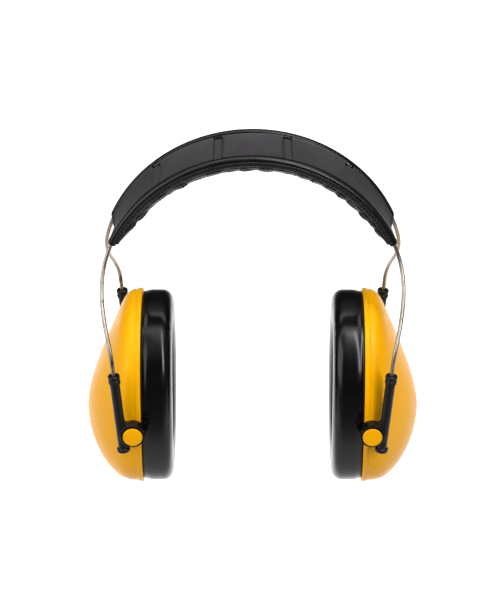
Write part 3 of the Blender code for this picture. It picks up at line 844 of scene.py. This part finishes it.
# %% [markdown]
# ## Spring wires
# Each wire is one length of drawn steel. It comes straight out of the yoke, flares outwards in one
# sweeping bend, and follows the arc of the headband inside the cover's edge. A round section is
# swept along the mechanical part's own Bezier and arc. The mesh stores how far each point is along
# and round the wire, for the drawn lines.

# %% Route of a wire
BAND_RADIUS, BAND_CENTRE, BAND_HALF = 73.5, 57.6, 66.5
WIRE_SPACING, WIRE_RADIUS, TIP_RADIUS = 15.2, 1.0, 1.3
TIP_TOP, TIP_LENGTH = 3.2, 2.0
STRAIGHT_END = 39.7         # along the tube's axis, where the bend starts
FLARE_REACH, YOKE_REACH = 26.0, 16.0


def on_band(radius, y, angle):
    """A point at a radius from the band's centre line, at an angle from the top in degrees."""
    turn = np.radians(angle)
    x, z = radius * np.sin(turn), BAND_CENTRE + radius * np.cos(turn)
    return np.stack(np.broadcast_arrays(x, y, z), axis=-1)


def wire_side(side, end):
    """(point, radius) from the tip in the yoke up to the end of the band's arc."""
    place = yoke_place(side, end)
    base, up = place.translation / MM, place.col[2].to_3d()
    top = Vector(on_band(BAND_RADIUS, end * WIRE_SPACING, side * BAND_HALF))
    turn = math.radians(BAND_HALF)
    down = Vector((side * math.cos(turn), 0, -math.sin(turn)))
    first = base + up * STRAIGHT_END
    tip = [(TIP_TOP - TIP_LENGTH, TIP_RADIUS - 0.3), (TIP_TOP - TIP_LENGTH + 0.3, TIP_RADIUS),
           (TIP_TOP - 0.4, TIP_RADIUS), (TIP_TOP, WIRE_RADIUS)]
    route = [(base + up * along, radius) for along, radius in tip]
    for along in np.linspace(TIP_TOP, STRAIGHT_END, 25)[1:-1]:
        route.append((base + up * float(along), WIRE_RADIUS))
    handles = (first, first + up * YOKE_REACH, top + down * FLARE_REACH, top)
    for t in np.linspace(0, 1, 61)[:-1].tolist():
        weights = ((1 - t) ** 3, 3 * t * (1 - t) ** 2, 3 * t * t * (1 - t), t ** 3)
        route.append((sum((h * w for h, w in zip(handles, weights)), Vector()), WIRE_RADIUS))
    return route


def wire_route(end):
    angles = np.linspace(-BAND_HALF, BAND_HALF, 140)
    crown = [(Vector(on_band(BAND_RADIUS, end * WIRE_SPACING, angle)), WIRE_RADIUS) for angle in angles]
    return wire_side(-1, end) + crown + wire_side(1, end)[::-1]


print("a wire's route has", len(wire_route(-1)), "points")


# %% Sweep the wires
WIRE_SIDES = 24


def sweep_wire(route):
    points = np.array([point for point, _ in route])
    radii = np.array([radius for _, radius in route])
    ahead = np.gradient(points, axis=0)
    ahead /= np.linalg.norm(ahead, axis=1, keepdims=True)
    across = np.cross(ahead, (0, 1, 0))
    across /= np.linalg.norm(across, axis=1, keepdims=True)
    up = np.cross(across, ahead)
    turns = np.linspace(0, 2 * math.pi, WIRE_SIDES, endpoint=False)
    circle = across[:, None] * np.cos(turns)[:, None] + up[:, None] * np.sin(turns)[:, None]
    rings = points[:, None] + circle * radii[:, None, None]
    mesh = loft("wire", rings)
    steps = np.linalg.norm(np.diff(points, axis=0), axis=1)
    along = np.concatenate([[0], np.cumsum(steps)])
    run = np.zeros((len(mesh.vertices), 3))
    body = len(points) * WIRE_SIDES
    run[:body, 0] = np.repeat(along, WIRE_SIDES)
    run[:body, 1] = np.tile(2 * np.cos(turns), len(points))
    run[:body, 2] = np.tile(2 * np.sin(turns), len(points))
    mesh.attributes.new("wire_run", "FLOAT_VECTOR", "POINT").data.foreach_set("vector", run.ravel())
    print("wire is", round(float(along[-1])), "mm long")
    return mesh


for end, part in ((-1, "front"), (1, "rear")):
    mesh = sweep_wire(wire_route(end))
    place_piece(part + "_wire_drawn", mesh, SPRING_STEEL, "headband", "spring_steel", part + "_wire")

# %% [markdown]
# ## Headband cover
# The cover is one long moulding with the same section all along: a recessed floor between two
# sleeves that hold the wires. The floor meets the sleeves in a hollow fillet. Four ribs cross it,
# each with a narrow groove on both sides. At both ends of each rib, where the mould had a pin to
# hold the wire, a small recess is cut through the sleeve's wall; the rear ones run in over the
# floor. Rings are packed closely round the ribs only, so they are crisp without a heavy mesh.

# %% Section of the cover
SLEEVE_HALF = 2.0
SLEEVE_IN, SLEEVE_OUT = 13.2, 17.2
FLOOR_TOP, FLOOR_BOTTOM = 73.5, 72.3
RIB_ANGLES, RIB_WIDTH = (-39.0, -13.0, 13.0, 39.0), 3.5
RIB_RISE, RIB_GROOVE = 0.55, 0.6
FLOOR_SCOOP, SCOOP_REACH = 4.0, 8.0
FLOOR_DISH = 1.0


def floor_level(y):
    """The floor is dished: level along its middle, and rising towards each rim."""
    return FLOOR_TOP + FLOOR_DISH * (abs(y) / SLEEVE_IN) ** 3


def cover_half():
    """Half of the section as (y, radius), from the middle of the floor round to its underside."""
    top, low = BAND_RADIUS + SLEEVE_HALF, BAND_RADIUS - SLEEVE_HALF
    hollow, inner, outer, under = 0.8, 1.2, 1.9, 1.0
    section = [(y, floor_level(y)) for y in np.linspace(0, SLEEVE_IN - hollow - 0.1, 14)]
    section += corner(SLEEVE_IN, section[-1][1], hollow, -70, 0, 5)
    section += corner(SLEEVE_IN, top, inner, 180, 90, 5) + corner(SLEEVE_OUT, top, outer, 90, 0, 8)
    section += corner(SLEEVE_OUT, low, under, 0, -90, 5) + corner(SLEEVE_IN, low, 0.4, -90, -180, 3)
    return section + [(y, FLOOR_BOTTOM) for y in np.linspace(SLEEVE_IN, 0, 8)]


def rib_rise(arc_mm):
    """Height of the floor over its plain level, at a distance along the arc from a rib's middle."""
    edge = RIB_WIDTH / 2
    away = abs(arc_mm)
    rise = RIB_RISE * np.clip((edge - away) / 0.3, 0, 1)
    return rise - RIB_GROOVE * np.exp(-((away - edge - 0.4) / 0.4) ** 2)


def cover_angles():
    """Angles of the rings: 0.6 degrees apart, and much closer where a rib has its edges."""
    angles = set(np.round(np.linspace(-BAND_HALF, BAND_HALF, 223), 3))
    for middle in RIB_ANGLES:
        for away in np.arange(0.9, 3.0, 0.1):
            angles |= {round(middle + math.degrees(s * away / FLOOR_TOP), 3) for s in (-1, 1)}
    return np.array(sorted(angles))


print("cover rings:", len(cover_angles()), "points in each:", 2 * len(cover_half()) - 2)


# %% Cover mesh
def cover_rings():
    half = cover_half()
    section = np.array(half + [(-y, radius) for y, radius in half[-2:0:-1]])
    y, radius = section[:, 0], section[:, 1]
    on_floor = np.clip((SLEEVE_IN - 0.6 - np.abs(y)) / 0.6, 0, 1) * (radius > FLOOR_TOP - 0.1)
    sleeve = np.abs(y) > SLEEVE_IN - 0.05
    rings = []
    for angle in cover_angles():
        shifted = radius.copy()
        for middle in RIB_ANGLES:
            shifted = shifted + on_floor * rib_rise(math.radians(angle - middle) * FLOOR_TOP)
        past = max(0.0, abs(angle) - (BAND_HALF - SCOOP_REACH)) / SCOOP_REACH
        scoop = math.degrees(FLOOR_SCOOP / BAND_RADIUS) * np.clip(1 - (y / SLEEVE_IN) ** 2, 0, 1)
        turned_to = math.copysign(1, angle) * (abs(angle) - past * scoop)
        left = (BAND_HALF - abs(angle)) * math.radians(1) * BAND_RADIUS
        tuck = 0.12 * max(0.0, 1 - left / 0.8)
        middle_y = np.where(sleeve, np.sign(y) * WIRE_SPACING, y)
        middle_r = np.where(sleeve, BAND_RADIUS, (FLOOR_TOP + FLOOR_BOTTOM) / 2)
        level, across = shifted + tuck * (middle_r - shifted), y + tuck * (middle_y - y)
        rings.append(on_band(level, across, turned_to))
    return rings


FRONT_REACH, REAR_REACH = 0.5, 3.2      # how far a recess runs in over the floor
WINDOW_WIDTH, WINDOW_TOP = 4.4, 74.9


def bore_mesh(end):
    circle = np.array(arc((end * WIRE_SPACING, BAND_RADIUS), WIRE_BORE, 0, 345, 23))
    angles = np.linspace(-BAND_HALF - 0.8, BAND_HALF + 0.8, 120)
    return loft("bore", [on_band(circle[:, 1], circle[:, 0], angle) for angle in angles])


def window_mesh(end, middle):
    """A cutter for the recess at a rib's end, which runs through the sleeve's wall to the wire."""
    reach = REAR_REACH if end > 0 else FRONT_REACH
    near, far = end * (SLEEVE_IN - reach), end * (WIRE_SPACING - 1.1)
    half = math.degrees(WINDOW_WIDTH / 2 / BAND_RADIUS)
    low = FLOOR_BOTTOM + 0.4
    y, radius = np.array([(near, low), (far, low), (far, WINDOW_TOP), (near, WINDOW_TOP)]).T
    return loft("window", [on_band(radius, y, middle + s * half) for s in (-1, 1)])


def cover_mesh():
    steps = [("DIFFERENCE", bore_mesh(end)) for end in (-1, 1)]
    steps += [("DIFFERENCE", window_mesh(end, middle)) for end in (-1, 1) for middle in RIB_ANGLES]
    mesh = combine(loft("cover", cover_rings()), *steps)
    # painted shade: faces on the sleeves take the near-black copy of the cover plastic
    for face in mesh.polygons:
        face.material_index = int(abs(face.center.y) / MM > SLEEVE_IN - 0.15)
    return mesh


cover = cover_mesh()
place_piece("band_cover_moulding", cover, (CHARCOAL_COVER, RIM_BLACK_PAINTED_SHADE), "headband", "cover_vinyl",
            "band_cover")

# %% [markdown]
# ## Headband pad
# The pad is a soft skin over a strip of foam. Along both edges it turns up round the sleeve in a
# finely ribbed bead, below which a groove sets it off from the lumpy cushion part. The skin is
# blown up with Cloth while it is a coarse grid, with the bead and the ends held. It is then refined,
# and the embossed lumps, about 7 mm across, and the ribs, 1.9 mm apart, are raised along its normals.

# %% Outline of the pad
PAD_TOP, PAD_HALF = 71.2, 65.0
PAD_THICKNESS, PAD_EDGE = 4.8, 3.0
PAD_TAPER_ANGLE, PAD_TAPER = 16.0, 0.5
PAD_SKIN = 0.5
PAD_ROUND = 4.0             # mm over which each end of the pad closes
BEAD_TOP, BEAD_Y = 73.6, 17.9
LUMP, LUMP_HEIGHT = 7.5, 0.75
RIB_PITCH, RIB_HEIGHT = 1.9, 0.14


def pad_half():
    """(y, radius) from the top of the bead, round it, through the groove, to the middle below."""
    bead = arc((BEAD_Y - 0.25, BEAD_TOP - 0.25), 0.25, 180, 0, 4)
    bead += [(BEAD_Y, 73.0), (BEAD_Y, 72.4)]
    bead += arc((BEAD_Y - 0.7, 71.8), 0.7, 0, -80, 4)
    groove = [(16.85, 70.95), (16.75, 70.75)]
    shoulder = [(17.0, 70.35), (17.1, 69.8)]
    under = []
    for share in (0.98, 0.92, 0.84, 0.74, 0.62, 0.5, 0.38, 0.25, 0.125, 0.0):
        depth = PAD_EDGE + (PAD_THICKNESS - PAD_EDGE) * math.cos(share * math.pi / 2)
        under.append((share * 16.9, PAD_TOP - depth + (1.1 if share > 0.95 else 0.0)))
    return bead + groove + shoulder + under


def pad_depth_share(angle):
    """Thin the pad towards its ends, and close it in a round over the last few millimetres."""
    past = np.clip((np.abs(angle) - (PAD_HALF - PAD_TAPER_ANGLE)) / PAD_TAPER_ANGLE, 0, 1)
    left = np.radians(PAD_HALF - np.abs(angle)) * PAD_TOP / PAD_ROUND
    close = np.sqrt(np.clip(1 - (1 - np.clip(left, 0, 1)) ** 2, 0.02, 1))
    return (1 - (1 - PAD_TAPER) * past) * close


def pad_rows(section, angles):
    """A section of (y, radius) repeated along the band and thinned towards both ends."""
    y, radius = np.array(section).T
    depth = PAD_TOP - radius
    thin = [np.where(depth > 0, depth * pad_depth_share(angle), depth) for angle in angles]
    return np.array([on_band(PAD_TOP - each, y, angle) for each, angle in zip(thin, angles)])


print("half of the pad's section has", len(pad_half()), "points")


# %% Pad skin
PAD_ROWS, PAD_FACTOR = 92, 6


def pad_mesh():
    half = pad_half()
    section = half + [(-y, radius) for y, radius in half[-2::-1]]
    grid = pad_rows(section, np.linspace(-PAD_HALF, PAD_HALF, PAD_ROWS))
    held = np.zeros(grid.shape[:2], bool)
    held[:3] = held[-3:] = True
    bead = len(half) - 12               # the bead's own points
    held[:, :bead] = held[:, -bead:] = True
    # this grid's faces look inwards, so the pressure and the normals are turned round
    grid = blow_up(grid, held, pressure=-3.0, most=0.4, ring_closed=False)
    lowest = grid[len(grid) // 2, grid.shape[1] // 2, 2]
    print("pad is", round(float(PAD_TOP + BAND_CENTRE - lowest), 2), "mm thick")
    grid = refine(refine(grid, PAD_FACTOR, 0, False), 2, 1, False)
    out = -grid_normals(grid, False)
    along = np.linspace(-PAD_HALF, PAD_HALF, len(grid)) * math.radians(1) * PAD_TOP
    y = grid[..., 1]
    radius = np.hypot(grid[..., 0], grid[..., 2] - BAND_CENTRE)
    below = np.clip((PAD_TOP - 0.6 - radius) / 0.8, 0, 1)
    lumps = np.empty(y.shape)
    for i, arc_mm in enumerate(along):
        for j in range(y.shape[1]):
            lumps[i, j] = lump_height(arc_mm, y[i, j])
    beads = np.clip((radius - 71.3) / 0.3, 0, 1) * np.clip((BEAD_TOP - radius) / 0.3, 0, 1)
    ribs = RIB_HEIGHT * np.cos(2 * math.pi * along / RIB_PITCH)[:, None]
    grid = grid + out * (lumps * below * LUMP_HEIGHT + ribs * (beads + 0.35 * below))[..., None]
    inside = grid - out * PAD_SKIN
    rings = np.concatenate([grid, inside[:, ::-1]], axis=1)
    return loft("pad", rings)


def lump_height(arc_mm, y):
    """Rounded lumps with creases between them, one for each random centre about LUMP mm apart."""
    distances = noise.voronoi(Vector((arc_mm / LUMP, y / LUMP, 0.5)))[0]
    return min(1.0, 1.8 * (distances[1] - distances[0])) - 0.5


pad = place_piece("band_pad_skin", pad_mesh(), PAD_VINYL, "headband", "pad_vinyl", "band_pad_cover")

# %% [markdown]
# The strip of foam inside is the pad's own section, a little smaller and cut off flat under the
# cover's floor. It stays hidden, so a plain loft with a slightly uneven surface is enough.

# %% Pad foam
STRIP_HALF = 11.3


def pad_foam_mesh():
    """The strip inside the skin, from the underside of the cover's floor down."""
    shares = np.linspace(-1, 1, 21)
    depth = PAD_EDGE + (PAD_THICKNESS - PAD_EDGE) * np.cos(shares * math.pi / 2) - 1.3
    below = np.stack([shares * STRIP_HALF, PAD_TOP - depth], axis=1)
    top = FLOOR_BOTTOM - 0.5
    above = [(STRIP_HALF, top), (0, top + 0.1), (-STRIP_HALF, top)]
    angles = np.linspace(-PAD_HALF + 4, PAD_HALF - 4, 100)
    rows = pad_rows(np.concatenate([below, above]), angles)
    return roughen(loft("pad_foam", rows), size=4, depth=0.08)


strip = place_piece("band_pad_filling", pad_foam_mesh(), FOAM, "headband", "foam", "band_pad_foam")

# %% [markdown]
# ## Floor, light and surroundings
# The object hangs in the air, as on a head, over pale studio paper. A glossy black thing shows what
# surrounds it, so the light is set by what it has to mirror. A tall softbox high on the right makes
# the upright highlight on each cushion, and a wide one overhead lights the cover. The paper has a
# painted glow behind the object, where its colour emits light as if lit from below, and painted shade
# in front, which keeps the cushions deep black.

# %% Studio paper
FLOOR_Z, PAPER_HALF = -0.30, 12.0
PAINTED_GLOW_BACK, PAINTED_GLOW_RADIUS, PAINTED_GLOW_FADE = 0.78, 0.62, 0.14     # painted glow: the paper emits light here, behind the object
PAINTED_SHADE_START, PAINTED_SHADE_END = -0.25, -0.55                    # y where painted shade darkens the paper in front


def studio_paper():
    material, tree, shader, place = start_material("pale_studio_paper", "#D4D4D4", 0.8)
    # painted shade: the paper's colour darkens towards the front
    front = {"Value": add_node(tree, "SeparateXYZ", {"Vector": place}).outputs["Y"],
             "From Min": PAINTED_SHADE_START, "From Max": PAINTED_SHADE_END}
    shade = add_node(tree, "MapRange", front, interpolation_type="SMOOTHSTEP").outputs["Result"]
    blend_colours(tree, shader, shade, "#D4D4D4", "#4A4A4A")
    tree.links.new(cloud(tree, place, size=60, low=0.75, high=0.85), shader.inputs["Roughness"])
    # painted light: the paper glows in a disc behind the object
    painted_glow_offset = add_node(tree, "Mapping", {"Vector": place, "Location": (0, -PAINTED_GLOW_BACK, -FLOOR_Z)})
    away = add_node(tree, "VectorMath", {0: painted_glow_offset.outputs["Vector"]}, operation="LENGTH")
    lit = {"Value": away.outputs["Value"], "From Min": PAINTED_GLOW_RADIUS, "From Max": PAINTED_GLOW_RADIUS + PAINTED_GLOW_FADE,
           "To Min": 0.9, "To Max": 0.02}
    glow = add_node(tree, "MapRange", lit).outputs["Result"]
    tree.links.new(glow, shader.inputs["Emission Strength"])
    shader.inputs["Emission Color"].default_value = linear("#FFFFFF")
    half = PAPER_HALF
    corners = [(x, y, FLOOR_Z) for x, y in ((-half, -half), (half, -half), (half, half), (-half, half))]
    mesh = bpy.data.meshes.new("studio_floor")
    mesh.from_pydata(corners, [], [(0, 1, 2, 3)])
    mesh.materials.append(material)
    new_object("studio_floor", mesh)


studio_paper()
print("the paper lies", -FLOOR_Z, "m below the middle of the head")


# %% Softboxes
def softbox(name, azimuth, elevation, distance, size, power):
    """A rectangular softbox. Azimuth 0 is straight in front, 90 is to the right."""
    turn, rise = math.radians(azimuth), math.radians(elevation)
    place = Vector((math.sin(turn) * math.cos(rise), -math.cos(turn) * math.cos(rise), math.sin(rise)))
    lamp = bpy.data.lights.new(name, "AREA")
    lamp.shape = "RECTANGLE"
    lamp.size, lamp.size_y = size
    lamp.energy = power
    made = new_object(name, lamp)
    made.location = place * distance + Vector((0, 0, 0.03))
    made.rotation_euler = (-place).to_track_quat("-Z", "Y").to_euler()
    print(name, "at", [round(v, 2) for v in made.location])


softbox("tall_right_box", azimuth=37, elevation=46, distance=1.3, size=(0.24, 1.6), power=15)
softbox("overhead_box", azimuth=180, elevation=80, distance=1.2, size=(1.8, 1.0), power=9)
softbox("left_box", azimuth=-60, elevation=22, distance=1.5, size=(1.4, 1.4), power=14)


# %% [markdown]
# The surroundings are a simple function of direction: bright overhead, dim at both sides, dark in
# front and behind. The camera itself sees an even white instead, as it would over studio paper.

# %% Surroundings
def surroundings():
    world = bpy.data.worlds.new("studio")
    bpy.context.scene.world = world
    world.use_nodes = True
    tree = world.node_tree
    background = tree.nodes["Background"]
    way = add_node(tree, "SeparateXYZ", {"Vector": add_node(tree, "TexCoord").outputs["Generated"]})
    above = {"Value": way.outputs["Z"], "From Min": 0.5, "From Max": 1.0, "To Min": 0.03, "To Max": 0.6}
    wide = add_node(tree, "Math", {0: way.outputs["X"]}, operation="ABSOLUTE")
    beside = {"Value": wide.outputs["Value"], "From Min": 0.7, "From Max": 1.0, "To Max": 0.22}
    both = [add_node(tree, "MapRange", links).outputs["Result"] for links in (above, beside)]
    glow = add_node(tree, "Math", dict(enumerate(both)), operation="MAXIMUM")
    seen = add_node(tree, "LightPath").outputs["Is Camera Ray"]
    strength = add_node(tree, "Mix", {"Factor": seen, 2: glow.outputs["Value"], 3: 1.0})
    tree.links.new(strength.outputs["Result"], background.inputs["Strength"])
    background.inputs["Color"].default_value = linear("#FFFFFF")


surroundings()
print("made the world", bpy.context.scene.world.name)
